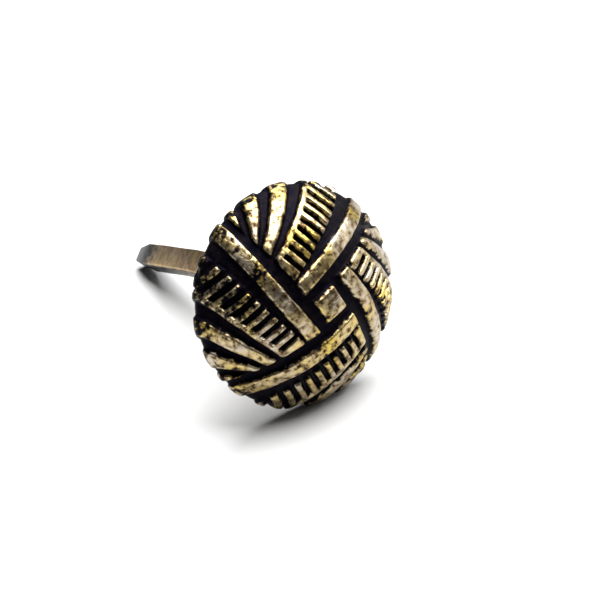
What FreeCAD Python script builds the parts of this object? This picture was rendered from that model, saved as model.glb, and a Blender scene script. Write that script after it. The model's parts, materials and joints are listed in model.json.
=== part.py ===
import FreeCAD, Part
import Sketcher
import math
import os
import re

# Upholstery tack with a tall domed head, lying on its side as it comes to rest.
# Two pieces: a cap struck from sheet brass, whose rim is folded under to make a hem,
# and a square-shanked nail whose flat disc head the hem holds.
# Both are drawn on the tack's own axis: +Z to the crown, and height 0 is the underside of the hem.
# Lengths are in millimetres and angles in degrees.

SIZES = [
    ("head_radius", 5.55, "over the tops of the relief at the rim"),
    ("head_height", 3.9, "from the hem's underside to the crown"),
    ("relief_height", 0.32, "how far the relief stands out of the ground"),
    ("rim_round", 0.45, "rounding that the relief's ends follow where they turn under the rim"),
    ("rim_cut", 45.0, "how far under the rim the first of the two straight cuts along that rounding goes"),
    ("relief_foot", 0.08, "height at which the relief ends stop above the seating plane"),
    ("sheet_thickness", 0.42, "brass sheet of the cap"),
    ("fold_radius", 0.5, "outside radius of the fold at the rim"),
    ("hem_opening", 3.9, "radius of the round opening that the hem leaves"),
    ("quarters", 4, "bundles of stripes, each turned a quarter from the last"),
    ("band_offset", 1.47, "middle of the plain band from the centre"),
    ("band_width", 0.7, "plain band"),
    ("end_gap", 0.37, "groove between a band and the stripes that run up to it"),
    ("lozenge_side", 1.4, "square boss at the centre of the pattern"),
    ("ladder_offset", 2.375, "middle of the notched stripe at its inner end"),
    ("ladder_width", 0.75, "notched stripe at its inner end"),
    ("ladder_low_slope", 11.5, "edge of the notched stripe nearest the band"),
    ("ladder_high_slope", 19.5, "edge of the notched stripe furthest from the band"),
    ("notch_start", 0.42, "first notch from the inner end"),
    ("notch_pitch", 0.5, "from one notch to the next"),
    ("notch_width", 0.24, "one notch"),
    ("notches", 8, "notches in one stripe"),
    ("rail_width", 0.17, "what the notches leave of the stripe"),
    ("first_ridge_offset", 3.175, "middle of the first narrow ridge at its inner end"),
    ("first_ridge_width", 0.45, "first narrow ridge at its inner end"),
    ("first_ridge_low_slope", 23.0, "edge of the first ridge nearest the band"),
    ("first_ridge_high_slope", 24.5, "edge of the first ridge furthest from the band"),
    ("second_ridge_offset", 3.86, "middle of the second narrow ridge at its inner end"),
    ("second_ridge_width", 0.48, "second narrow ridge at its inner end"),
    ("second_ridge_low_slope", 38.5, "edge of the second ridge nearest the band"),
    ("second_ridge_high_slope", 36.5, "edge of the second ridge furthest from the band"),
    ("trim_margin", 1.0, "how far the trimming cuts reach past the metal"),
    ("disc_thickness", 0.7, "disc head of the nail"),
    ("disc_clearance", 0.04, "between the disc's side and the cap"),
    ("shank_length", 15.9, "from the hem's underside to the tip"),
    ("shank_width", 1.25, "across the flats"),
    ("shank_turn", 27.0, "turn of the shank's flats against the bands"),
    ("edge_round", 0.1, "rounding of the shank's long edges"),
    ("root_flare", 0.3, "sloping foot where the shank meets the disc"),
    ("point_length", 1.5, "four-sided point"),
    ("tip_width", 0.65, "blunt end of the point, across the flats"),
    ("tip_round", 0.06, "rounding of the point's edges at the blunt end"),
]

WORKED_OUT = [
    ("envelope_corner", "head_radius - rim_round", "radius at which the relief turns under"),
    ("envelope_foot", "relief_foot + rim_round", "height of the centre of that turn"),
    ("envelope_rise", "head_height - envelope_foot", "crown above that centre"),
    ("envelope_radius", "(envelope_corner^2 + envelope_rise^2 - rim_round^2) / (2 * (envelope_rise - rim_round))",
     "sphere through the relief's tops"),
    ("dome_centre", "head_height - envelope_radius", "height of the spheres' centre"),
    ("envelope_angle", "asin((envelope_foot - dome_centre) / (envelope_radius - rim_round))",
     "where that sphere meets the turn"),
    ("ground_radius", "envelope_radius - relief_height", "sphere of the plain ground"),
    ("inner_radius", "ground_radius - sheet_thickness", "sphere inside the cap"),
    ("middle_radius", "ground_radius - sheet_thickness / 2", "sphere half way through the sheet"),
    ("fold_middle", "fold_radius - sheet_thickness / 2", "fold, half way through the sheet"),
    ("fold_inside", "fold_radius - sheet_thickness", "inside radius of the fold"),
    ("fold_centre", "sqrt((ground_radius - fold_radius)^2 - (fold_radius - dome_centre)^2)",
     "radius at which the fold's centre lies"),
    ("fold_angle", "asin((fold_radius - dome_centre) / (ground_radius - fold_radius))",
     "where the ground meets the fold"),
    ("stripe_start", "-band_offset + band_width / 2 + end_gap", "inner end of every stripe"),
    ("stripe_run", "head_radius - stripe_start", "from the inner end to past the rim"),
    ("ladder_slope", "(ladder_low_slope + ladder_high_slope) / 2", "middle line of the notched stripe"),
    ("ladder_spread", "(ladder_high_slope - ladder_low_slope) / 2", "its edges against its middle line"),
    ("first_ridge_rim_angle", "first_ridge_high_slope + asin(((first_ridge_offset + first_ridge_width / 2)"
     " * cos(first_ridge_high_slope) - stripe_start * sin(first_ridge_high_slope)) / head_radius) / 1 deg",
     "where the first ridge's far edge reaches the rim"),
    ("second_ridge_rim_angle", "second_ridge_low_slope + asin(((second_ridge_offset - second_ridge_width / 2)"
     " * cos(second_ridge_low_slope) - stripe_start * sin(second_ridge_low_slope)) / head_radius) / 1 deg",
     "where the second ridge's near edge reaches the rim"),
    ("seat_angle", "(first_ridge_rim_angle + second_ridge_rim_angle) / 2",
     "groove between the two ridges, whose two sides touch the floor"),
    ("disc_bottom_radius", "fold_centre - disc_clearance", "disc where it lies on the hem"),
    ("disc_top", "sheet_thickness + disc_thickness", "height of the disc's upper face"),
    ("disc_top_radius", "sqrt(inner_radius^2 - (disc_top - dome_centre)^2) - disc_clearance",
     "disc's upper edge, under the dome"),
    ("shoulder_depth", "shank_length - point_length", "where the point begins"),
]

NAMES = [row[0] for row in SIZES + WORKED_OUT]
NAME_PATTERN = re.compile(r"\b(" + "|".join(NAMES) + r")\b")
STRAIGHT, LEFT, RIGHT = 0, 1, -1
FACET_SIZE = 0.01
TILT_STEPS = 40
START, END = 1, 2
ORIGIN = (-1, START)


def sized(text):
    """Point each size that an expression names at its cell."""
    return NAME_PATTERN.sub(r"Sizes.\1", text)


def value(text):
    """Number that an expression comes to with the present sizes."""
    result = sheet.evalExpression(sized(text))
    return float(getattr(result, "Value", result))


def fill_sheet(sheet):
    """Write the driving sizes and the ones worked out from them."""
    for row, (name, number, note) in enumerate(SIZES, start=1):
        sheet.set("A%d" % row, name)
        sheet.set("B%d" % row, str(number))
        sheet.set("C%d" % row, note)
        sheet.setAlias("B%d" % row, name)
    for row, (name, formula, note) in enumerate(WORKED_OUT, start=len(SIZES) + 1):
        sheet.set("A%d" % row, name)
        sheet.set("B%d" % row, "=" + formula)
        sheet.set("C%d" % row, note)
        sheet.setAlias("B%d" % row, name)


def new_sketch(body, name, plane, height="0", turn="0", shift=("0", "0")):
    """Sketch on one of the body's own planes, raised, turned and shifted within it."""
    sketch = body.newObject("Sketcher::SketchObject", name)
    origin = next(item for item in body.Origin.OriginFeatures if item.Role == plane)
    sketch.AttachmentSupport = [(origin, "")]
    sketch.MapMode = "FlatFace"
    offset = FreeCAD.Placement()
    offset.Rotation = FreeCAD.Rotation(FreeCAD.Vector(0, 0, 1), 1)
    sketch.AttachmentOffset = offset
    for axis, text in zip("xyz", (shift[0], shift[1], height)):
        sketch.setExpression("AttachmentOffset.Base." + axis, sized(text))
    sketch.setExpression("AttachmentOffset.Rotation.Angle", sized(turn))
    return sketch


def arc_centre(start, stop, radius, turn):
    """Centre of the short arc from start to stop that bends left (1) or right (-1)."""
    chord = stop - start
    middle = (start + stop) * 0.5
    sideways = FreeCAD.Vector(-chord.y, chord.x, 0).normalize() * turn
    return middle + sideways * math.sqrt(max(radius ** 2 - (chord.Length / 2) ** 2, 0))


def bearing(centre, point):
    """Direction of a point from a centre, in radians."""
    return math.atan2(point.y - centre.y, point.x - centre.x)


def draw(sketch, corners):
    """Draw a closed outline whose corners are pinned to the sheet.

    Each corner is (x, y), or (x, y, turn, radius) where an arc leaves it.
    """
    corners = [corner + (STRAIGHT, "0") if len(corner) == 2 else corner for corner in corners]
    points = [FreeCAD.Vector(value(x), value(y), 0) for x, y, turn, radius in corners]
    ends = []
    for index, (x, y, turn, radius) in enumerate(corners):
        start = points[index]
        stop = points[(index + 1) % len(points)]
        if turn == STRAIGHT:
            edge = sketch.addGeometry(Part.LineSegment(start, stop))
            ends.append((edge, START, END))
            continue
        centre = arc_centre(start, stop, value(radius), turn)
        circle = Part.Circle(centre, FreeCAD.Vector(0, 0, 1), value(radius))
        first, last = (start, stop) if turn == LEFT else (stop, start)
        edge = sketch.addGeometry(Part.ArcOfCircle(circle, bearing(centre, first), bearing(centre, last)))
        ends.append((edge, START, END) if turn == LEFT else (edge, END, START))
        constraint = sketch.addConstraint(Sketcher.Constraint("Radius", edge, value(radius)))
        sketch.setExpression("Constraints[%d]" % constraint, sized(radius))
    for index, (edge, first, last) in enumerate(ends):
        next_edge, next_first, next_last = ends[(index + 1) % len(ends)]
        sketch.addConstraint(Sketcher.Constraint("Coincident", edge, last, next_edge, next_first))
        for kind, text in zip(("DistanceX", "DistanceY"), corners[index][:2]):
            constraint = sketch.addConstraint(Sketcher.Constraint(kind, *ORIGIN, edge, first, value(text)))
            sketch.setExpression("Constraints[%d]" % constraint, sized(text))


def draw_stripe(sketch, offset, width, low_slope, high_slope):
    """One stripe of a bundle: square inner end, edges that fan out past the rim."""
    low = "%s - %s / 2" % (offset, width)
    high = "%s + %s / 2" % (offset, width)
    draw(sketch, [
        ("stripe_start", low),
        ("head_radius", "%s + stripe_run * tan(%s)" % (low, low_slope)),
        ("head_radius", "%s + stripe_run * tan(%s)" % (high, high_slope)),
        ("stripe_start", high),
    ])


def draw_rounded_square(sketch, width, rounding):
    """Square of the given width across the flats, with round corners."""
    half = "%s / 2" % width
    inset = "(%s / 2 - %s)" % (width, rounding)
    draw(sketch, [
        (half, "-" + inset),
        (half, inset, LEFT, rounding),
        (inset, half),
        ("-" + inset, half, LEFT, rounding),
        ("-" + half, inset),
        ("-" + half, "-" + inset, LEFT, rounding),
        ("-" + inset, "-" + half),
        (inset, "-" + half, LEFT, rounding),
    ])


def pad(body, sketch, name, length, downwards=False):
    """Raise a sketch into metal."""
    feature = body.newObject("PartDesign::Pad", name)
    feature.Profile = sketch
    feature.Reversed = downwards
    feature.setExpression("Length", sized(length))
    return feature


def turn_about_axis(body, sketch, kind, name):
    """Turn a section through a full circle about the tack's axis, adding or cutting metal."""
    feature = body.newObject("PartDesign::" + kind, name)
    feature.Profile = sketch
    feature.ReferenceAxis = (sketch, ["V_Axis"])
    feature.Angle = 360
    return feature


def repeat_quarters(body, sketch, name, originals):
    """Repeat features once for each bundle of the pattern."""
    pattern = body.newObject("PartDesign::PolarPattern", name)
    pattern.Originals = originals
    pattern.Axis = (sketch, ["N_Axis"])
    pattern.Angle = 360
    pattern.setExpression("Occurrences", sized("quarters"))
    body.Tip = pattern
    return pattern


def make_cap(document):
    """Struck cap: the relief is raised as stripes, trimmed to the dome, and the sheet is turned under it."""
    body = document.addObject("PartDesign::Body", "Cap")
    body.Label = "cap"
    body.AllowCompound = True
    relief_length = "head_height + trim_margin"

    ladder_sketch = new_sketch(body, "LadderSketch", "XY_Plane", height="relief_foot")
    draw_stripe(ladder_sketch, "ladder_offset", "ladder_width", "ladder_low_slope", "ladder_high_slope")
    ladder = pad(body, ladder_sketch, "Ladder", relief_length)
    notch_sketch = new_sketch(body, "NotchSketch", "XY_Plane", height="relief_foot", turn="ladder_slope",
                              shift=("stripe_start", "ladder_offset"))
    for number in range(int(value("notches"))):
        near = "(notch_start + %d * notch_pitch)" % number
        far = "(notch_start + %d * notch_pitch + notch_width)" % number
        rail = "ladder_width / 2 * cos(ladder_slope) - rail_width + %s * tan(ladder_spread)"
        draw(notch_sketch, [
            (near, "-ladder_width - %s * tan(ladder_spread)" % near),
            (far, "-ladder_width - %s * tan(ladder_spread)" % far),
            (far, rail % far),
            (near, rail % near),
        ])
    notches = body.newObject("PartDesign::Pocket", "Notches")
    notches.Profile = notch_sketch
    notches.Reversed = True
    notches.setExpression("Length", sized(relief_length))
    document.recompute()
    repeat_quarters(body, ladder_sketch, "LadderQuarters", [ladder, notches])

    stripe_sketch = new_sketch(body, "StripeSketch", "XY_Plane", height="relief_foot")
    draw_stripe(stripe_sketch, "band_offset", "band_width", "0", "0")
    for ridge in ("first_ridge", "second_ridge"):
        draw_stripe(stripe_sketch, ridge + "_offset", ridge + "_width",
                    ridge + "_low_slope", ridge + "_high_slope")
    stripes = pad(body, stripe_sketch, "Stripes", relief_length)
    document.recompute()
    repeat_quarters(body, stripe_sketch, "StripeQuarters", [stripes])

    lozenge_sketch = new_sketch(body, "LozengeSketch", "XY_Plane", height="relief_foot")
    half = "lozenge_side / 2"
    draw(lozenge_sketch, [(half, "-" + half), (half, half), ("-" + half, half), ("-" + half, "-" + half)])
    pad(body, lozenge_sketch, "Lozenge", relief_length)

    outside_sketch = new_sketch(body, "OutsideSketch", "XZ_Plane")
    draw(outside_sketch, [
        ("0", "head_height", RIGHT, "envelope_radius"),
        ("envelope_corner + rim_round * cos(envelope_angle)",
         "envelope_foot + rim_round * sin(envelope_angle)"),
        ("head_radius", "envelope_foot"),
        ("envelope_corner + rim_round * cos(rim_cut)", "envelope_foot - rim_round * sin(rim_cut)"),
        ("envelope_corner", "relief_foot"),
        ("envelope_corner", "-trim_margin"),
        ("2 * head_radius", "-trim_margin"),
        ("2 * head_radius", "head_height + 2 * trim_margin"),
        ("0", "head_height + 2 * trim_margin"),
    ])
    turn_about_axis(body, outside_sketch, "Groove", "TrimToDome")

    inside_sketch = new_sketch(body, "InsideSketch", "XZ_Plane")
    draw(inside_sketch, [
        ("0", "-trim_margin"),
        ("fold_centre", "-trim_margin"),
        ("fold_centre", "sheet_thickness / 2", LEFT, "fold_middle"),
        ("fold_centre + fold_middle * cos(fold_angle)",
         "fold_radius + fold_middle * sin(fold_angle)", LEFT, "middle_radius"),
        ("0", "dome_centre + middle_radius"),
    ])
    turn_about_axis(body, inside_sketch, "Groove", "TrimInside")

    sheet_sketch = new_sketch(body, "SheetSketch", "XZ_Plane")
    draw(sheet_sketch, [
        ("hem_opening", "0"),
        ("fold_centre", "0", LEFT, "fold_radius"),
        ("fold_centre + sqrt(fold_radius^2 - (fold_radius - relief_foot)^2)", "relief_foot", LEFT, "fold_radius"),
        ("fold_centre + fold_radius * cos(fold_angle)",
         "fold_radius + fold_radius * sin(fold_angle)", LEFT, "ground_radius"),
        ("0", "dome_centre + ground_radius"),
        ("0", "dome_centre + inner_radius", RIGHT, "inner_radius"),
        ("fold_centre + fold_inside * cos(fold_angle)",
         "fold_radius + fold_inside * sin(fold_angle)"),
        ("fold_centre", "sheet_thickness"),
        ("hem_opening", "sheet_thickness"),
    ])
    turn_about_axis(body, sheet_sketch, "Revolution", "FoldedSheet")
    return body


def make_nail(document):
    """Nail: a disc that lies on the hem, a square shank and a blunt four-sided point."""
    body = document.addObject("PartDesign::Body", "Nail")
    body.Label = "nail"

    disc_sketch = new_sketch(body, "DiscSketch", "XZ_Plane")
    draw(disc_sketch, [
        ("0", "sheet_thickness"),
        ("disc_bottom_radius", "sheet_thickness"),
        ("disc_top_radius", "disc_top"),
        ("0", "disc_top"),
    ])
    turn_about_axis(body, disc_sketch, "Revolution", "Disc")

    shank_sketch = new_sketch(body, "ShankSketch", "XY_Plane", height="sheet_thickness", turn="shank_turn")
    draw_rounded_square(shank_sketch, "shank_width", "edge_round")
    pad(body, shank_sketch, "Shank", "shoulder_depth + sheet_thickness", downwards=True)

    shoulder_sketch = new_sketch(body, "ShoulderSketch", "XY_Plane", height="-shoulder_depth", turn="shank_turn")
    draw_rounded_square(shoulder_sketch, "shank_width", "edge_round")
    tip_sketch = new_sketch(body, "TipSketch", "XY_Plane", height="-shank_length", turn="shank_turn")
    draw_rounded_square(tip_sketch, "tip_width", "tip_round")
    point = body.newObject("PartDesign::AdditiveLoft", "Point")
    point.Profile = shoulder_sketch
    point.Sections = [tip_sketch]
    point.Ruled = True
    document.recompute()

    root_height = value("sheet_thickness")
    root_reach = value("shank_width")
    root_edges = []
    for number, edge in enumerate(point.Shape.Edges, start=1):
        box = edge.BoundBox
        flat = abs(box.ZMax - root_height) < FACET_SIZE and abs(box.ZMin - root_height) < FACET_SIZE
        if flat and max(abs(box.XMin), abs(box.XMax), abs(box.YMin), abs(box.YMax)) < root_reach:
            root_edges.append("Edge%d" % number)
    root = body.newObject("PartDesign::Chamfer", "Root")
    root.Base = (point, root_edges)
    root.setExpression("Size", sized("root_flare"))
    return body


def lay_down(bodies):
    """Lay the tack on the floor, on two relief ends at the rim and on its tip.

    The crown points to -Y and up, and the origin is under the middle of the whole tack.
    """
    roll = math.radians(-90 - value("seat_angle"))
    clouds = []
    for body in bodies:
        points = body.Shape.tessellate(FACET_SIZE)[0]
        clouds.append([(point.x * math.cos(roll) - point.y * math.sin(roll),
                        point.x * math.sin(roll) + point.y * math.cos(roll), point.z) for point in points])

    def lowest(cloud, tilt):
        return min(across * math.cos(tilt) + along * math.sin(tilt) for side, across, along in cloud)

    head, nail = clouds
    shallow, steep = 0.0, math.pi / 2
    for step in range(TILT_STEPS):
        tilt = (shallow + steep) / 2
        if lowest(head, tilt) < lowest(nail, tilt):
            shallow = tilt
        else:
            steep = tilt
    about_axis = FreeCAD.Rotation(FreeCAD.Vector(0, 0, 1), math.degrees(roll))
    onto_side = FreeCAD.Rotation(FreeCAD.Vector(1, 0, 0), 90 - math.degrees(tilt))
    placement = FreeCAD.Placement(FreeCAD.Vector(), onto_side.multiply(about_axis))
    box = FreeCAD.BoundBox()
    for body in bodies:
        body.Placement = placement
        box.add(body.Shape.optimalBoundingBox())
    placement.Base = FreeCAD.Vector(-box.Center.x, -box.Center.y, -box.ZMin)
    for body in bodies:
        body.Placement = placement
    return math.degrees(tilt)


def check(document, bodies):
    """Stop if any object failed or any piece isn't one valid solid."""
    for item in document.Objects:
        if "Invalid" in item.State or "Error" in item.State:
            raise RuntimeError("%s failed: %s" % (item.Label, item.State))
    for body in bodies:
        if body.Shape.isNull() or not body.Shape.isValid() or len(body.Shape.Solids) != 1:
            raise RuntimeError("%s isn't one valid solid" % body.Label)


document = FreeCAD.newDocument("UpholsteryTack")
sheet = document.addObject("Spreadsheet::Sheet", "Sizes")
fill_sheet(sheet)
document.recompute()
cap = make_cap(document)
nail = make_nail(document)
document.recompute()
check(document, [cap, nail])
tilt = lay_down([cap, nail])
check(document, [cap, nail])
os.makedirs("parts", exist_ok=True)
for body in (cap, nail):
    body.Shape.exportStep("parts/%s.step" % body.Label)
    box = body.Shape.optimalBoundingBox()
    print("%s: %.2f cubic mm, x %.2f to %.2f, y %.2f to %.2f, z %.3f to %.2f" % (
        body.Label, body.Shape.Volume, box.XMin, box.XMax, box.YMin, box.YMax, box.ZMin, box.ZMax))
print("axis tilted %.2f degrees from the floor" % tilt)
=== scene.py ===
"""Looks of the upholstery tack: the struck cap, the nail it is crimped onto, light and camera.

Each piece is drawn on the tack's own axis in millimetres: +Z to the crown, height 0 under the hem.
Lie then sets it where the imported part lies. Angles are in degrees unless a name says radians.
"""

import json
import logging
import math
from dataclasses import dataclass
from enum import Enum

import bmesh
import bpy
import numpy as np
from mathutils import Matrix, Vector, noise

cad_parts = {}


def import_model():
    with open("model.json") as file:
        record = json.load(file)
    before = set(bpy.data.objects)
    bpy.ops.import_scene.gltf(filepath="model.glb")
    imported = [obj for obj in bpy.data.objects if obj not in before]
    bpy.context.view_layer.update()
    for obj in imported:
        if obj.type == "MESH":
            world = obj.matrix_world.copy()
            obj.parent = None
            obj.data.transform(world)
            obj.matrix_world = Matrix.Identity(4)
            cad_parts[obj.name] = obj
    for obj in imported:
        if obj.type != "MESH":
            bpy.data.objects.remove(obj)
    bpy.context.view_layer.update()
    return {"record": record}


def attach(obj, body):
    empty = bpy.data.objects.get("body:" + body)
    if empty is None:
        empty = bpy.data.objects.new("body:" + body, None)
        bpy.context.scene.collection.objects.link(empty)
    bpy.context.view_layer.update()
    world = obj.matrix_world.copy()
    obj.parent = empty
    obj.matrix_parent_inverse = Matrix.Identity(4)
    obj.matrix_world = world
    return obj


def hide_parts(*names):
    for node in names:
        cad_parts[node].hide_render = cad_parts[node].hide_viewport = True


log = logging.getLogger("tack")

MM = 0.001
IMAGE_SIZE = 600
ROOT_BODY = "root"
# Vertex note of how far the metal is rubbed bare; it also carries painted shade on the cap's rim and one
# flank and on the nail's underside.
RELIEF_AND_SHADE = "relief"
EDGE = "edge"
NOISE_SEED = 7
DRIFT_SPAN = (0.38, 0.6)
TINT_SPAN = (0.38, 0.62)


class Slot(Enum):
    """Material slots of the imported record."""

    CAP = "antique_brass"
    NAIL = "plated_nail"


def smooth_step(value: np.ndarray) -> np.ndarray:
    """Ease a ramp that runs from 0 to 1."""
    ramp = np.clip(value, 0.0, 1.0)
    return ramp * ramp * (3.0 - 2.0 * ramp)


def rounded_least(distances: list[np.ndarray], rounding: float) -> np.ndarray:
    """Least of several distances, with the corners where they meet rounded off.

    Args:
        distances: Distances inside each edge of an outline, positive inside.
        rounding: Radius of the corners.

    Returns:
        One distance inside the whole outline.
    """
    least = distances[0]
    for distance in distances[1:]:
        blend = np.clip(0.5 + 0.5 * (distance - least) / rounding, 0.0, 1.0)
        least = distance * (1.0 - blend) + least * blend - rounding * blend * (1.0 - blend)
    return least


@dataclass(frozen=True)
class Lie:
    """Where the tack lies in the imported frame."""

    matrix: Matrix

    @classmethod
    def of_record(cls, record: dict, seat_angle: float) -> "Lie":
        """Read the tack's axis from the record's two mounts.

        Args:
            record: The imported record.
            seat_angle: Turn of the pattern at which the groove that touches the floor lies.

        Returns:
            The place that takes millimetres on the tack's axis to metres in the frame.
        """
        mounts = {mount["name"]: mount for mount in record["mounts"]}
        hem = Vector(mounts["under_head"]["pos_m"])
        shank = Vector(mounts["shank"]["pos_m"])
        to_tip = Vector(mounts["under_head"]["axis"]).normalized()
        origin = shank + to_tip * to_tip.dot(hem - shank)
        onto_side = Matrix.Rotation(math.atan2(to_tip.y, -to_tip.z), 4, "X")
        roll = Matrix.Rotation(math.radians(-90.0 - seat_angle), 4, "Z")
        return cls(Matrix.Translation(origin) @ onto_side @ roll @ Matrix.Scale(MM, 4))

    @property
    def hem_centre(self) -> Vector:
        """Centre of the hem's underside, in metres."""
        return self.matrix.translation


@dataclass(frozen=True)
class Stripe:
    """One raised stripe of a bundle: square inner end, edges that fan out past the rim."""

    offset: float
    width: float
    low_slope: float
    high_slope: float

    def inside(self, x: np.ndarray, y: np.ndarray, start: float, rounding: float) -> np.ndarray:
        """Distance of points inside the stripe's outline.

        Args:
            x: Points along the bundle, from the pattern's centre.
            y: Points across the bundle.
            start: Where the stripe's inner end lies.
            rounding: Radius of its two inner corners.

        Returns:
            Distances, positive inside.
        """
        low, high = math.radians(self.low_slope), math.radians(self.high_slope)
        run = x - start
        above = (y - self.offset + self.width / 2) * math.cos(low) - run * math.sin(low)
        below = run * math.sin(high) - (y - self.offset - self.width / 2) * math.cos(high)
        return rounded_least([run, above, below], rounding)


@dataclass(frozen=True)
class Notches:
    """Comb of notches across a stripe, open on the side nearest the band."""

    first: float = 0.42
    pitch: float = 0.5
    width: float = 0.22
    count: int = 10
    rail: float = 0.29

    def inside(self, x: np.ndarray, y: np.ndarray, stripe: Stripe, start: float,
               rounding: float) -> np.ndarray:
        """Distance of points inside the nearest notch.

        Args:
            x: Points along the bundle.
            y: Points across the bundle.
            stripe: The stripe that the notches are cut into.
            start: Where that stripe's inner end lies.
            rounding: Radius of the notches' corners.

        Returns:
            Distances, positive inside a notch.
        """
        slope = math.radians((stripe.low_slope + stripe.high_slope) / 2)
        spread = math.radians((stripe.high_slope - stripe.low_slope) / 2)
        along = (x - start) * math.cos(slope) + (y - stripe.offset) * math.sin(slope)
        across = (y - stripe.offset) * math.cos(slope) - (x - start) * math.sin(slope)
        number = np.clip(np.round((along - self.first - self.width / 2) / self.pitch), 0, self.count - 1)
        middle = self.first + self.width / 2 + number * self.pitch
        reach = stripe.width / 2 * math.cos(slope) - self.rail + along * math.tan(spread)
        return rounded_least([self.width / 2 - np.abs(along - middle), reach - across], rounding)


@dataclass(frozen=True)
class Pattern:
    """Basket weave of four bundles, each turned a quarter from the last, around a square boss.

    The seat angle is the turn at which the groove that touches the floor lies. The stripes of a
    bundle bow outwards by a little, most at the bow's middle, and not at all at its reach.
    """

    quarters: int = 4
    end_gap: float = 0.37
    seat_angle: float = 69.4
    band: Stripe = Stripe(1.5, 0.76, 0.0, 0.0)
    ladder: Stripe = Stripe(2.55, 1.2, 7.0, 12.0)
    first_ridge: Stripe = Stripe(3.58, 0.46, 17.0, 22.0)
    second_ridge: Stripe = Stripe(4.15, 0.28, 28.0, 46.0)
    third_ridge: Stripe = Stripe(4.82, 0.3, 50.0, 80.0)
    bow: float = 0.2
    bow_middle: float = 2.0
    bow_reach: float = 2.8
    notches: Notches = Notches()
    lozenge_side: float = 1.28
    corner: float = 0.09
    wall: float = 0.13
    notch_wall: float = 0.09
    crown_width: float = 0.3
    crown_share: float = 0.22
    edge_width: float = 0.07

    @property
    def start(self) -> float:
        """Inner end of every stripe."""
        return -self.band.offset + self.band.width / 2 + self.end_gap

    def height(self, x: np.ndarray, y: np.ndarray) -> tuple[np.ndarray, np.ndarray]:
        """Height of the relief over points seen along the tack's axis.

        Args:
            x: Points across the head.
            y: Points across the head, square to x.

        Returns:
            The height as a share of the full relief, and how near each point is to a worn edge.
        """
        half = self.lozenge_side / 2
        boss = rounded_least([half - np.abs(x), half - np.abs(y)], self.corner)
        raised, edge = self.profile(boss)
        for quarter in range(self.quarters):
            turn = 2.0 * math.pi * quarter / self.quarters
            along = x * math.cos(turn) + y * math.sin(turn)
            across = y * math.cos(turn) - x * math.sin(turn)
            across -= self.bow * (1.0 - ((along - self.bow_middle) / self.bow_reach) ** 2)
            for stripe in (self.band, self.ladder, self.first_ridge, self.second_ridge, self.third_ridge):
                distance = stripe.inside(along, across, self.start, self.corner)
                stripe_raised, stripe_edge = self.profile(distance)
                if stripe is self.ladder:
                    notch = self.notches.inside(along, across, stripe, self.start, self.corner / 3)
                    kept = 1.0 - smooth_step(notch / self.notch_wall + 0.5)
                    rim = np.exp(-((notch / self.edge_width) ** 2))
                    stripe_edge = np.maximum(stripe_edge, rim * stripe_raised) * kept
                    stripe_raised = stripe_raised * kept
                raised = np.maximum(raised, stripe_raised)
                edge = np.maximum(edge, stripe_edge)
        return raised, edge

    def profile(self, inside: np.ndarray) -> tuple[np.ndarray, np.ndarray]:
        """Cross-section of a raised stripe: sloping walls and a rounded crown.

        Args:
            inside: Distances inside its outline.

        Returns:
            The height as a share of the full relief, and how near each point is to the top of a wall.
        """
        wall = smooth_step(inside / self.wall + 0.5)
        ramp = np.clip(inside / self.crown_width, 0.0, 1.0)
        crown = np.sqrt(1.0 - (1.0 - ramp) ** 2)
        edge = np.exp(-(((inside - self.wall / 2) / self.edge_width) ** 2))
        return wall * (1.0 - self.crown_share * (1.0 - crown)), edge


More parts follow.
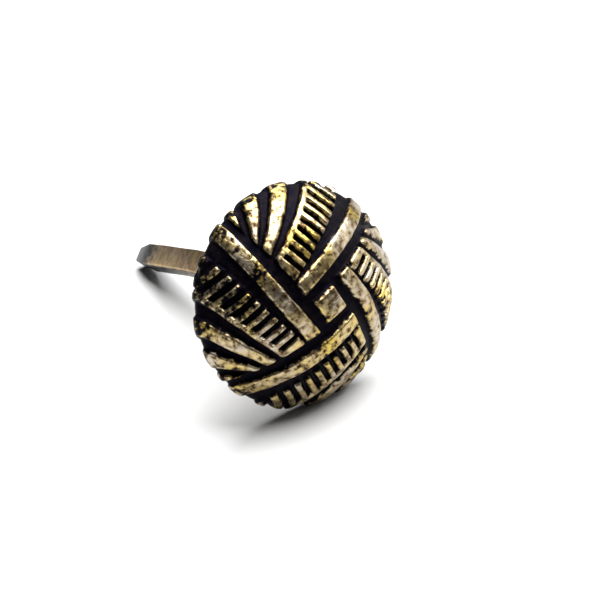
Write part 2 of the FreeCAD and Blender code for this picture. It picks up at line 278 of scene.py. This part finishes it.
@dataclass(frozen=True)
class CapSection:
    """Half section of the cap: sheet brass, domed, with its rim folded under into a hem."""

    head_radius: float = 5.55
    head_height: float = 3.9
    relief_height: float = 0.32
    rim_round: float = 0.45
    relief_foot: float = 0.08
    sheet: float = 0.42
    fold_radius: float = 0.5
    hem_opening: float = 3.9
    dome_rings: int = 96
    fold_rings: int = 15
    inside_rings: int = 10
    hem_rings: int = 2

    @property
    def corner(self) -> tuple[float, float]:
        """Centre of the round that the relief's ends follow under the rim."""
        return self.head_radius - self.rim_round, self.relief_foot + self.rim_round

    @property
    def envelope_radius(self) -> float:
        """Sphere through the tops of the relief."""
        reach, foot = self.corner
        rise = self.head_height - foot
        return (reach ** 2 + rise ** 2 - self.rim_round ** 2) / (2.0 * (rise - self.rim_round))

    @property
    def centre(self) -> float:
        """Height of the spheres' common centre."""
        return self.head_height - self.envelope_radius

    @property
    def ground_radius(self) -> float:
        """Sphere of the plain ground between the stripes."""
        return self.envelope_radius - self.relief_height

    @property
    def inner_radius(self) -> float:
        """Sphere inside the cap."""
        return self.ground_radius - self.sheet

    @property
    def fold_centre(self) -> float:
        """Radius at which the centre of the fold lies."""
        reach = self.ground_radius - self.fold_radius
        return math.sqrt(reach ** 2 - (self.fold_radius - self.centre) ** 2)

    @property
    def fold_angle(self) -> float:
        """Angle at which the dome meets the fold, in radians."""
        return math.asin((self.fold_radius - self.centre) / (self.ground_radius - self.fold_radius))

    @property
    def corner_angle(self) -> float:
        """Angle at which the relief's sphere meets the round of its ends, in radians."""
        return math.asin((self.corner[1] - self.centre) / (self.envelope_radius - self.rim_round))

    def ground(self, angle: float) -> Vector:
        """Point of the plain ground whose normal leans at an angle, in radians."""
        if angle > self.fold_angle:
            return Vector((self.ground_radius * math.cos(angle), 0.0,
                           self.centre + self.ground_radius * math.sin(angle)))
        return Vector((self.fold_centre + self.fold_radius * math.cos(angle), 0.0,
                       self.fold_radius * (1.0 + math.sin(angle))))

    def envelope(self, angle: float) -> Vector:
        """Point of the relief's top whose normal leans at an angle, in radians."""
        if angle > self.corner_angle:
            return Vector((self.envelope_radius * math.cos(angle), 0.0,
                           self.centre + self.envelope_radius * math.sin(angle)))
        reach, foot = self.corner
        return Vector((reach + self.rim_round * math.cos(angle), 0.0,
                       foot + self.rim_round * math.sin(angle)))

    def outline(self) -> list[tuple[Vector, Vector]]:
        """Section from the crown over the rim, under the hem and back up inside.

        Returns:
            Points, each with the way that full relief moves it.
        """
        down = -math.pi / 2
        angles = list(np.linspace(math.pi / 2, self.fold_angle, self.dome_rings, endpoint=False))
        angles += list(np.linspace(self.fold_angle, down, self.fold_rings))
        points = [(self.ground(angle), self.envelope(angle) - self.ground(angle)) for angle in angles]
        level = Vector()
        hem = np.linspace(self.fold_centre, self.hem_opening, self.hem_rings + 1)[1:]
        points += [(Vector((radius, 0.0, 0.0)), level) for radius in hem]
        inside = self.fold_radius - self.sheet
        points += [(Vector((radius, 0.0, self.sheet)), level)
                   for radius in (self.hem_opening, self.fold_centre)]
        points += [(Vector((self.fold_centre + inside * math.cos(angle), 0.0,
                            self.fold_radius + inside * math.sin(angle))), level)
                   for angle in (0.0, self.fold_angle)]
        points += [(Vector((self.inner_radius * math.cos(angle), 0.0,
                            self.centre + self.inner_radius * math.sin(angle))), level)
                   for angle in np.linspace(self.fold_angle, math.pi / 2, self.inside_rings)[1:]]
        return points


@dataclass(frozen=True)
class Rubbed:
    """Values of the shared rubbed-metal group: where patina stays and where metal shines through."""

    cut: float
    softness: float
    edge: float
    mottle: float
    stain: float
    mottle_scale: float = 3200.0
    stain_scale: float = 520.0
    grain_scale: float = 9000.0


@dataclass(frozen=True)
class Finish:
    """A metal with a dark patina in its hollows."""

    slot: Slot
    metal: tuple[float, float, float]
    metal_tint: tuple[float, float, float]
    metal_shade: tuple[float, float, float]
    patina: tuple[float, float, float]
    patina_shade: tuple[float, float, float]
    metal_roughness: float
    patina_roughness: float
    roughness_drift: float
    bump: float
    rubbed: Rubbed
    bump_distance: float = 0.00002


class Graph:
    """Adds nodes to a tree and joins them."""

    def __init__(self, tree: bpy.types.NodeTree) -> None:
        """Work on a node tree."""
        self.tree = tree

    def add(self, kind: str, settings: dict | None = None, **inputs: object) -> bpy.types.Node:
        """Add a node, set it and feed it.

        Args:
            kind: Node type, without the ShaderNode in front.
            settings: Values of the node's own properties.
            inputs: Values or output sockets for its inputs, by name with underscores for blanks.

        Returns:
            The new node.
        """
        node = self.tree.nodes.new(kind if kind.startswith("NodeGroup") else "ShaderNode" + kind)
        for name, value in (settings or {}).items():
            setattr(node, name, value)
        for name, value in inputs.items():
            self.feed(node, name.replace("_", " "), value)
        return node

    def feed(self, node: bpy.types.Node, name: str, value: object) -> None:
        """Set an input of a node, or link a socket to it."""
        socket = node.inputs[int(name)] if name.isdigit() else node.inputs[name]
        if isinstance(value, bpy.types.NodeSocket):
            self.tree.links.new(value, socket)
        else:
            socket.default_value = value

    def maths(self, operation: str, first: object, second: object = 0.0, third: object = 0.0,
              clamp: bool = False) -> bpy.types.NodeSocket:
        """Join up to three values by one sum and return what comes out."""
        node = self.add("Math", {"operation": operation, "use_clamp": clamp})
        for index, value in enumerate((first, second, third)):
            self.feed(node, str(index), value)
        return node.outputs[0]

    def mix(self, share: object, first: object, second: object) -> bpy.types.NodeSocket:
        """Mix two colours by a share and return the colour."""
        node = self.add("Mix", {"data_type": "RGBA"})
        for name, value in (("Factor", share), ("A", first), ("B", second)):
            socket = next(item for item in node.inputs
                          if item.name == name and item.type == ("VALUE" if name == "Factor" else "RGBA"))
            if isinstance(value, bpy.types.NodeSocket):
                self.tree.links.new(value, socket)
            else:
                socket.default_value = value if name == "Factor" else (*value, 1.0)
        return next(item for item in node.outputs if item.type == "RGBA")

    def ramp(self, value: object, low: object, high: object, from_low: object = 0.0,
             from_high: object = 1.0, smooth: bool = False) -> bpy.types.NodeSocket:
        """Map a value from one range to another."""
        node = self.add("MapRange", {"interpolation_type": "SMOOTHSTEP" if smooth else "LINEAR"})
        for name, item in (("Value", value), ("From Min", from_low), ("From Max", from_high),
                           ("To Min", low), ("To Max", high)):
            self.feed(node, name, item)
        return node.outputs[0]


class RubbedGroup:
    """Shader node group that both metals share: bare metal, mottling, tint and grain."""

    NAME = "rubbed_metal"
    MOTTLE_SHARE = 0.7
    INPUTS = ("Relief", "Edge", "Cut", "Softness", "Edge Gain", "Mottle", "Stain",
              "Mottle Scale", "Stain Scale", "Grain Scale")
    OUTPUTS = ("Bare", "Drift", "Tint", "Height")

    @classmethod
    def tree(cls) -> bpy.types.NodeTree:
        """Return the group, built the first time it is asked for."""
        return bpy.data.node_groups.get(cls.NAME) or cls.build()

    @classmethod
    def build(cls) -> bpy.types.NodeTree:
        """Build the group.

        Returns:
            The node group.
        """
        tree = bpy.data.node_groups.new(cls.NAME, "ShaderNodeTree")
        for name in cls.INPUTS:
            tree.interface.new_socket(name, in_out="INPUT", socket_type="NodeSocketFloat")
        for name in cls.OUTPUTS:
            tree.interface.new_socket(name, in_out="OUTPUT", socket_type="NodeSocketFloat")
        graph = Graph(tree)
        given = graph.add("NodeGroupInput").outputs
        place = graph.add("TexCoord").outputs["Object"]
        mottle = graph.add("TexNoise", Vector=place, Scale=given["Mottle Scale"], Detail=4.0,
                           Roughness=0.6).outputs[0]
        stain = graph.add("TexNoise", Vector=place, Scale=given["Stain Scale"], Detail=3.0,
                          Roughness=0.5, Distortion=0.6).outputs[0]
        grain = graph.add("TexNoise", Vector=place, Scale=given["Grain Scale"], Detail=3.0,
                          Roughness=0.55).outputs[0]
        rub = graph.maths("MULTIPLY_ADD", given["Edge"], given["Edge Gain"], given["Relief"])
        rub = graph.maths("MULTIPLY_ADD", graph.maths("SUBTRACT", mottle, 0.5), given["Mottle"], rub)
        rub = graph.maths("MULTIPLY_ADD", graph.maths("SUBTRACT", stain, 0.5), given["Stain"], rub)
        low = graph.maths("SUBTRACT", given["Cut"], given["Softness"])
        high = graph.maths("ADD", given["Cut"], given["Softness"])
        bare = graph.ramp(rub, 0.0, 1.0, low, high, smooth=True)
        height = graph.maths("MULTIPLY_ADD", mottle, cls.MOTTLE_SHARE,
                             graph.maths("MULTIPLY", grain, 1.0 - cls.MOTTLE_SHARE))
        out = graph.add("NodeGroupOutput")
        for name, socket in zip(cls.OUTPUTS, (bare, mottle, stain, height)):
            graph.feed(out, name, socket)
        return tree


def build_material(finish: Finish) -> bpy.types.Material:
    """Build the material of one finish.

    Args:
        finish: Colours, roughness and wear.

    Returns:
        The material.
    """
    material = bpy.data.materials.new(finish.slot.value)
    material.use_nodes = True
    material.node_tree.nodes.clear()
    graph = Graph(material.node_tree)
    # The relief note holds painted shade as well as wear: where it is low, the dark patina colour shows.
    relief = graph.add("Attribute", {"attribute_name": RELIEF_AND_SHADE}).outputs["Fac"]
    edge = graph.add("Attribute", {"attribute_name": EDGE}).outputs["Fac"]
    worn = graph.add("Group", {"node_tree": RubbedGroup.tree()}, Relief=relief, Edge=edge)
    values = (finish.rubbed.cut, finish.rubbed.softness, finish.rubbed.edge, finish.rubbed.mottle,
              finish.rubbed.stain, finish.rubbed.mottle_scale, finish.rubbed.stain_scale,
              finish.rubbed.grain_scale)
    for name, value in zip(RubbedGroup.INPUTS[2:], values):
        graph.feed(worn, name, value)
    bare, drift = worn.outputs["Bare"], worn.outputs["Drift"]
    spread = graph.ramp(drift, 0.0, 1.0, *DRIFT_SPAN)
    tint = graph.ramp(worn.outputs["Tint"], 0.0, 1.0, *TINT_SPAN)
    metal = graph.mix(spread, finish.metal_shade, graph.mix(tint, finish.metal, finish.metal_tint))
    patina = graph.mix(spread, finish.patina_shade, finish.patina)
    roughness = graph.ramp(bare, finish.patina_roughness, finish.metal_roughness)
    roughness = graph.maths("MULTIPLY_ADD", graph.maths("SUBTRACT", drift, 0.5),
                            finish.roughness_drift, roughness)
    bump = graph.add("Bump", Strength=finish.bump, Distance=finish.bump_distance,
                     Height=worn.outputs["Height"])
    shader = graph.add("BsdfPrincipled", Metallic=1.0, Normal=bump.outputs[0], Roughness=roughness)
    graph.feed(shader, "Base Color", graph.mix(bare, patina, metal))
    graph.add("OutputMaterial", Surface=shader.outputs[0])
    return material


def set_attribute(mesh: bpy.types.Mesh, name: str, values: np.ndarray) -> None:
    """Store one number for each vertex of a mesh."""
    attribute = mesh.attributes.new(name, "FLOAT", "POINT")
    attribute.data.foreach_set("value", values.astype(np.float32))


def new_piece(name: str, shell: bmesh.types.BMesh) -> bpy.types.Object:
    """Turn a bmesh into an object of the scene.

    Args:
        name: Name of the piece.
        shell: Its mesh, on the tack's axis in millimetres. It is freed.

    Returns:
        The object, smooth shaded.
    """
    mesh = bpy.data.meshes.new(name)
    for face in shell.faces:
        face.smooth = True
    shell.to_mesh(mesh)
    shell.free()
    piece = bpy.data.objects.new(name, mesh)
    bpy.context.scene.collection.objects.link(piece)
    return piece


def vertex_places(mesh: bpy.types.Mesh) -> np.ndarray:
    """Places of a mesh's vertices, one row each."""
    places = np.zeros(len(mesh.vertices) * 3, np.float64)
    mesh.vertices.foreach_get("co", places)
    return places.reshape(-1, 3)


def settle(piece: bpy.types.Object, lie: Lie, finish: Finish, node: str) -> None:
    """Lay a piece down, give it its finish and put it in its node's stead.

    Args:
        piece: The piece, on the tack's axis in millimetres.
        lie: Where the tack lies.
        finish: The piece's finish.
        node: The CAD node that it stands for.
    """
    piece.data.transform(lie.matrix)
    piece.data.materials.append(build_material(finish))
    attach(piece, ROOT_BODY)
    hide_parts(node)


def stand_on_floor(pieces: list[bpy.types.Object]) -> None:
    """Shift the pieces together until their lowest point touches the floor."""
    lowest = min(float(vertex_places(piece.data)[:, 2].min()) for piece in pieces)
    for piece in pieces:
        piece.data.transform(Matrix.Translation((0.0, 0.0, -lowest)))


@dataclass
class Cap:
    """Struck cap with its relief, fold and hem.

    The ground rises to the relief towards the rim by the run-out. Shade is painted along the rim, and a
    painted dark reflection on one flank: the relief note is lowered there, so the dark patina colour shows.
    """

    section: CapSection
    pattern: Pattern
    finish: Finish
    steps: int = 720
    unevenness: float = 0.1
    unevenness_scale: float = 1.7
    wander: float = 0.035
    wander_scale: float = 1.1
    inside_relief: float = 0.66
    run_out_top: float = 1.15
    run_out_depth: float = 0.65
    run_out_fill: float = 0.5
    # Painted shade along the rim and a painted dark reflection on one flank, taken off the relief note.
    rim_patina: float = 0.3
    dull_place: tuple[float, float, float] = (3.0, -3.5, 2.1)
    dull_reach: float = 2.1
    dull_depth: float = 0.42
    merge: float = 0.0005
    name: str = "struck_cap"
    node: str = "cap"

    def build(self, lie: Lie) -> bpy.types.Object:
        """Spin the section, raise the relief and lay the cap down.

        Args:
            lie: Where the tack lies.

        Returns:
            The finished piece.
        """
        shell = bmesh.new()
        proud = shell.verts.layers.float_vector.new("proud")
        corners = []
        for place, way in self.section.outline():
            corner = shell.verts.new(place)
            corner[proud] = way
            corners.append(corner)
        edges = [shell.edges.new(pair) for pair in zip(corners, corners[1:])]
        bmesh.ops.spin(shell, geom=corners + edges, axis=(0, 0, 1), cent=(0, 0, 0),
                       angle=math.tau, steps=self.steps, use_merge=True)
        bmesh.ops.remove_doubles(shell, verts=shell.verts, dist=self.merge)
        bmesh.ops.recalc_face_normals(shell, faces=shell.faces)
        piece = new_piece(self.name, shell)
        self.raise_relief(piece.data)
        settle(piece, lie, self.finish, self.node)
        return piece

    def raise_relief(self, mesh: bpy.types.Mesh) -> None:
        """Move the ground out to the relief and note where it stands, where it is worn and where shade is
        painted.

        Args:
            mesh: The spun cap, with the way that full relief moves each vertex.
        """
        places = vertex_places(mesh)
        ways = np.zeros(len(mesh.vertices) * 3, np.float64)
        mesh.attributes["proud"].data.foreach_get("vector", ways)
        ways = ways.reshape(-1, 3)
        radius = np.hypot(places[:, 0], places[:, 1])
        outward = places[:, :2] / np.maximum(radius, self.merge)[:, None]
        middle = outward * (radius + ways[:, 0] / 2)[:, None]
        drift = np.array([noise.noise_vector(Vector(place) * self.wander_scale) for place in places])
        middle = middle + drift[:, :2] * self.wander
        height, edge = self.pattern.height(middle[:, 0], middle[:, 1])
        uneven = np.array([noise.noise(Vector(place) * self.unevenness_scale) for place in places])
        run_out = smooth_step((self.run_out_top - places[:, 2]) / self.run_out_depth)
        lift = height + (1.0 - height) * self.run_out_fill * run_out
        lift = lift * (1.0 - self.unevenness * (1.0 + uneven))
        outside = np.linalg.norm(ways, axis=1) > 0
        places[:, :2] += outward * (ways[:, 0] * lift)[:, None]
        places[:, 2] += ways[:, 2] * lift
        mesh.vertices.foreach_set("co", places.ravel())
        mesh.attributes.remove(mesh.attributes["proud"])
        # Painted shade, not wear: the relief note drops along the rim and on one flank, so the dark patina
        # colour stands in for shade and a dark reflection there.
        away = np.linalg.norm(places - np.array(self.dull_place), axis=1)
        kept = self.rim_patina * run_out + self.dull_depth * np.exp(-((away / self.dull_reach) ** 2))
        set_attribute(mesh, RELIEF_AND_SHADE, np.where(outside, height * (1.0 - kept), self.inside_relief))
        set_attribute(mesh, EDGE, np.where(outside, edge, 0.0))
        mesh.update()


@dataclass
class Nail:
    """Nail: disc head inside the cap, square shank with a slight bow, blunt four-sided point.

    The tip share is what is left at the tip of the shift that sets the shank's root off centre.
    """

    section: CapSection
    finish: Finish
    disc_thickness: float = 0.7
    disc_clearance: float = 0.04
    disc_steps: int = 96
    shank_length: float = 15.9
    shank_width: float = 1.25
    shank_turn: float = 27.0
    edge_round: float = 0.12
    root_flare: float = 0.3
    point_length: float = 1.3
    tip_width: float = 0.85
    shank_rings: int = 60
    bow: float = 0.16
    off_centre: float = 0.36
    tip_share: float = 0.2
    shank_reach: float = 2.0
    root_slack: float = 0.001
    uneven: float = 0.025
    uneven_scale: float = 0.9
    name: str = "square_nail"
    node: str = "nail"
    rounding_steps: int = 3
    disc_chamfer: float = 0.08
    relief_at_tip: float = 0.0
    # Painted shade on the shank's downward faces: how far their relief note drops, and where that starts.
    underside_relief: float = 0.42
    underside_start: float = 0.2
    underside_gain: float = 2.0
    corner_sharpness: int = 4
    tip_reach: float = 4.5
    flats: int = 4

    def build(self, lie: Lie) -> bpy.types.Object:
        """Make the disc and the shank, bow the shank and lay the nail down.

        Args:
            lie: Where the tack lies.

        Returns:
            The finished piece.
        """
        metal = bmesh.new()
        self.add_disc(metal)
        self.add_shank(metal)
        bmesh.ops.recalc_face_normals(metal, faces=metal.faces)
        piece = new_piece(self.name, metal)
        self.shape_by_hand(piece.data, lie)
        settle(piece, lie, self.finish, self.node)
        return piece

    def add_disc(self, metal: bmesh.types.BMesh) -> None:
        """Spin the disc that the hem holds."""
        section = self.section
        top = section.sheet + self.disc_thickness
        top_radius = math.sqrt(section.inner_radius ** 2 - (top - section.centre) ** 2) - self.disc_clearance
        bottom_radius = section.fold_centre - self.disc_clearance
        chamfer = self.disc_chamfer
        outline = [(0.0, section.sheet), (bottom_radius - chamfer, section.sheet),
                   (bottom_radius, section.sheet + chamfer), (top_radius, top - chamfer),
                   (top_radius - chamfer, top), (0.0, top)]
        corners = [metal.verts.new((radius, 0.0, height)) for radius, height in outline]
        edges = [metal.edges.new(pair) for pair in zip(corners, corners[1:])]
        bmesh.ops.spin(metal, geom=corners + edges, axis=(0, 0, 1), cent=(0, 0, 0),
                       angle=math.tau, steps=self.disc_steps, use_merge=True)
        bmesh.ops.remove_doubles(metal, verts=metal.verts, dist=self.disc_chamfer / 10)

    def add_shank(self, metal: bmesh.types.BMesh) -> None:
        """Draw the shank as a square tube of rings with rounded edges, closed at both ends."""
        before = set(metal.verts)
        root = self.section.sheet
        shoulder = -(self.shank_length - self.point_length)
        turn = Matrix.Rotation(math.radians(self.shank_turn + 45.0), 4, "Z")
        made = bmesh.ops.create_circle(metal, cap_ends=True, segments=self.flats,
                                       radius=self.corner_radius(self.shank_width + 2 * self.root_flare),
                                       matrix=Matrix.Translation((0, 0, root)) @ turn)
        face = made["verts"][0].link_faces[0]
        stops = [(root - self.root_flare, self.shank_width)]
        stops += [(height, self.shank_width)
                  for height in np.linspace(root - self.root_flare, shoulder, self.shank_rings + 1)[1:]]
        stops += [(-self.shank_length, self.tip_width)]
        width = self.shank_width + 2 * self.root_flare
        height = root
        for next_height, next_width in stops:
            made = bmesh.ops.extrude_discrete_faces(metal, faces=[face])
            face = made["faces"][0]
            bmesh.ops.translate(metal, verts=face.verts, vec=(0, 0, next_height - height))
            bmesh.ops.scale(metal, verts=face.verts, vec=(next_width / width, next_width / width, 1.0))
            width, height = next_width, next_height
        fresh = [vert for vert in metal.verts if vert not in before]
        bmesh.ops.remove_doubles(metal, verts=fresh, dist=self.edge_round / 100)
        sharp = [edge for edge in metal.edges
                 if not any(vert in before for vert in edge.verts) and self.is_corner(edge)]
        bmesh.ops.bevel(metal, geom=sharp, offset=self.edge_round, segments=self.rounding_steps,
                        profile=0.5, affect="EDGES", material=-1, clamp_overlap=True)

    def corner_radius(self, width: float) -> float:
        """Radius to the corners of a square of a width across the flats."""
        return width / math.sqrt(2.0)

    def is_corner(self, edge: bmesh.types.BMEdge) -> bool:
        """Whether an edge is one of the long corners or bounds the blunt tip."""
        low = min(vert.co.z for vert in edge.verts)
        high = max(vert.co.z for vert in edge.verts)
        at_tip = high < -self.shank_length + self.edge_round
        return at_tip or high - low > self.edge_round

    def shape_by_hand(self, mesh: bpy.types.Mesh, lie: Lie) -> None:
        """Bow the shank upwards and off centre, roughen its flats, note where its plating is worn and paint
        shade on the faces that look down.

        Args:
            mesh: The nail on its own axis.
            lie: Where the tack lies, which says which way is up.
        """
        places = vertex_places(mesh)
        depth = np.clip(-places[:, 2] / self.shank_length, 0.0, 1.0)
        up = (lie.matrix.to_3x3().inverted() @ Vector((0.0, 0.0, 1.0))).normalized()
        sideways = np.array([up.x, up.y, 0.0]) / math.hypot(up.x, up.y)
        radius = np.hypot(places[:, 0], places[:, 1])
        on_shank = (radius < self.shank_reach) & (places[:, 2] < self.section.sheet + self.root_slack)
        shift = (1.0 - (1.0 - self.tip_share) * depth ** 2) * self.off_centre * on_shank
        bowed = places + np.outer(np.sin(math.pi * depth) * self.bow + shift, sideways)
        dents = np.array([noise.noise_vector(Vector(place) * self.uneven_scale) for place in places])
        bowed += dents * (self.uneven * np.sin(math.pi * depth))[:, None]
        mesh.vertices.foreach_set("co", bowed.ravel())
        turn = math.radians(self.shank_turn)
        across = np.abs(places[:, 0] * math.cos(turn) + places[:, 1] * math.sin(turn))
        other = np.abs(places[:, 1] * math.cos(turn) - places[:, 0] * math.sin(turn))
        near_corner = np.minimum(across, other) / (self.shank_width / 2)
        from_tip = (self.shank_length + places[:, 2]) / self.tip_reach
        tip = 1.0 - smooth_step(from_tip)
        # Painted shade: faces of the shank that look down get a lower relief note, so their dark patina
        # colour stands in for the floor's shadow.
        normals = np.zeros(len(mesh.vertices) * 3, np.float64)
        mesh.vertices.foreach_get("normal", normals)
        facing_up = normals.reshape(-1, 3) @ np.array(up)
        painted_underside_shade = smooth_step(self.underside_start - self.underside_gain * facing_up) * on_shank
        relief = (1.0 - tip * (1.0 - self.relief_at_tip)) * (1.0 - painted_underside_shade * (1.0 - self.underside_relief))
        set_attribute(mesh, RELIEF_AND_SHADE, relief)
        near_corner = np.clip(near_corner, 0.0, 1.0) ** self.corner_sharpness
        set_attribute(mesh, EDGE, near_corner * (places[:, 2] < 0))
        mesh.update()


@dataclass
class Studio:
    """Pale floor, overhead softbox, side fill and the camera at the photograph's angle."""

    azimuth: float = -31.6
    elevation: float = 31.4
    camera_roll: float = -5.0
    distance: float = 79.3
    pixels_per_mm: float = 20.8
    hem_pixel: tuple[float, float] = (289.6, 294.2)
    sensor: float = 36.0
    clip_share: float = 0.05
    floor_radius: float = 0.35
    floor_colour: tuple[float, float, float] = (0.55, 0.55, 0.55)
    floor_roughness: float = 0.8
    key_way: tuple[float, float, float] = (0.34, 0.08, 0.93)
    key_distance: float = 1.2
    key_size: float = 1.5
    key_power: float = 63.0
    fill_way: tuple[float, float, float] = (0.93, -0.2, 0.3)
    fill_distance: float = 1.2
    fill_size: float = 0.9
    fill_power: float = 4.0
    ambient: float = 0.04
    backdrop: float = 1.0

    def build(self, lie: Lie) -> None:
        """Set up the floor, lights, world and camera around the tack."""
        self.add_floor()
        self.add_light("key", self.key_way, self.key_distance, self.key_size, self.key_power, lie)
        self.add_light("fill", self.fill_way, self.fill_distance, self.fill_size, self.fill_power, lie)
        self.light_world()
        self.add_camera(lie)
        bpy.context.scene.view_settings.view_transform = "Standard"

    def add_floor(self) -> None:
        """Lay a round pale floor under the tack."""
        disc = bmesh.new()
        bmesh.ops.create_circle(disc, cap_ends=True, segments=128, radius=self.floor_radius / MM)
        floor = new_piece("floor", disc)
        floor.data.transform(Matrix.Scale(MM, 4))
        material = bpy.data.materials.new("floor_paper")
        material.use_nodes = True
        shader = material.node_tree.nodes["Principled BSDF"]
        shader.inputs["Base Color"].default_value = (*self.floor_colour, 1.0)
        shader.inputs["Roughness"].default_value = self.floor_roughness
        shader.inputs["Specular IOR Level"].default_value = 0.0
        floor.data.materials.append(material)

    def add_light(self, name: str, way: tuple[float, float, float], distance: float, size: float,
                  power: float, lie: Lie) -> None:
        """Hang a round soft light that looks at the tack.

        Args:
            name: Name of the light.
            way: Direction from the tack to the light.
            distance: How far away it hangs, in metres.
            size: Its diameter, in metres.
            power: Its power, in watts.
            lie: Where the tack lies.
        """
        data = bpy.data.lights.new(name, "AREA")
        data.shape = "DISK"
        data.size = size
        data.energy = power
        light = bpy.data.objects.new(name, data)
        towards = Vector(way).normalized()
        light.location = lie.hem_centre + towards * distance
        light.rotation_mode = "QUATERNION"
        light.rotation_quaternion = (-towards).to_track_quat("-Z", "Y")
        light.visible_camera = False
        bpy.context.scene.collection.objects.link(light)

    def light_world(self) -> None:
        """Show the camera a white backdrop and give the metal a dim room to reflect."""
        world = bpy.data.worlds.new("room")
        world.use_nodes = True
        world.node_tree.nodes.clear()
        graph = Graph(world.node_tree)
        room = graph.add("Background", Color=(1.0, 1.0, 1.0, 1.0), Strength=self.ambient)
        seen = graph.add("Background", Color=(1.0, 1.0, 1.0, 1.0), Strength=self.backdrop)
        path = graph.add("LightPath")
        mixed = graph.add("MixShader")
        for index, socket in enumerate((path.outputs["Is Camera Ray"], room.outputs[0], seen.outputs[0])):
            graph.feed(mixed, str(index), socket)
        graph.add("OutputWorld", Surface=mixed.outputs[0])
        bpy.context.scene.world = world

    def add_camera(self, lie: Lie) -> None:
        """Set the camera so that the hem's centre falls on its pixel of the photograph."""
        azimuth, elevation = math.radians(self.azimuth), math.radians(self.elevation)
        back = Vector((math.sin(azimuth) * math.cos(elevation), -math.cos(azimuth) * math.cos(elevation),
                       math.sin(elevation)))
        right = Matrix.Rotation(math.radians(self.camera_roll), 3, back) \
            @ Vector((math.cos(azimuth), math.sin(azimuth), 0.0))
        up = back.cross(right)
        middle = IMAGE_SIZE / 2
        off_centre = right * (middle - self.hem_pixel[0]) - up * (middle - self.hem_pixel[1])
        position = lie.hem_centre + back * self.distance * MM
        away = (position - lie.hem_centre - off_centre * MM / self.pixels_per_mm).normalized()
        level = up.cross(away).normalized()
        data = bpy.data.cameras.new("photo_camera")
        data.sensor_width = self.sensor
        data.lens = self.sensor * self.pixels_per_mm * self.distance / IMAGE_SIZE
        data.clip_start = self.distance * MM * self.clip_share
        camera = bpy.data.objects.new("photo_camera", data)
        camera.location = position
        camera.rotation_mode = "QUATERNION"
        camera.rotation_quaternion = Matrix((level, away.cross(level), away)).transposed().to_quaternion()
        bpy.context.scene.collection.objects.link(camera)
        bpy.context.scene.camera = camera


ANTIQUE_BRASS = Finish(
    slot=Slot.CAP,
    metal=(0.52, 0.38, 0.09),
    metal_tint=(0.45, 0.39, 0.3),
    metal_shade=(0.17, 0.11, 0.045),
    patina=(0.007, 0.005, 0.007),
    patina_shade=(0.002, 0.002, 0.005),
    metal_roughness=0.3,
    patina_roughness=0.6,
    roughness_drift=0.3,
    bump=1.0,
    rubbed=Rubbed(cut=0.78, softness=0.24, edge=0.1, mottle=1.9, stain=0.8),
    bump_distance=0.00005,
)

PLATED_NAIL = Finish(
    slot=Slot.NAIL,
    metal=(0.42, 0.31, 0.1),
    metal_tint=(0.42, 0.27, 0.16),
    metal_shade=(0.22, 0.15, 0.06),
    patina=(0.085, 0.088, 0.085),
    patina_shade=(0.03, 0.034, 0.042),
    metal_roughness=0.36,
    patina_roughness=0.45,
    roughness_drift=0.25,
    bump=0.8,
    rubbed=Rubbed(cut=0.56, softness=0.25, edge=0.1, mottle=0.9, stain=0.6),
)


def main() -> None:
    """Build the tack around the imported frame."""
    logging.basicConfig(level=logging.INFO, format="%(name)s: %(message)s")
    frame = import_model()
    section = CapSection()
    pattern = Pattern()
    lie = Lie.of_record(frame["record"], pattern.seat_angle)
    noise.seed_set(NOISE_SEED)
    pieces = []
    for maker in (Cap(section, pattern, ANTIQUE_BRASS), Nail(section, PLATED_NAIL)):
        pieces.append(maker.build(lie))
        log.info("%s: %d faces", pieces[-1].name, len(pieces[-1].data.polygons))
    stand_on_floor(pieces)
    Studio().build(lie)


if __name__ == "__main__":
    main()
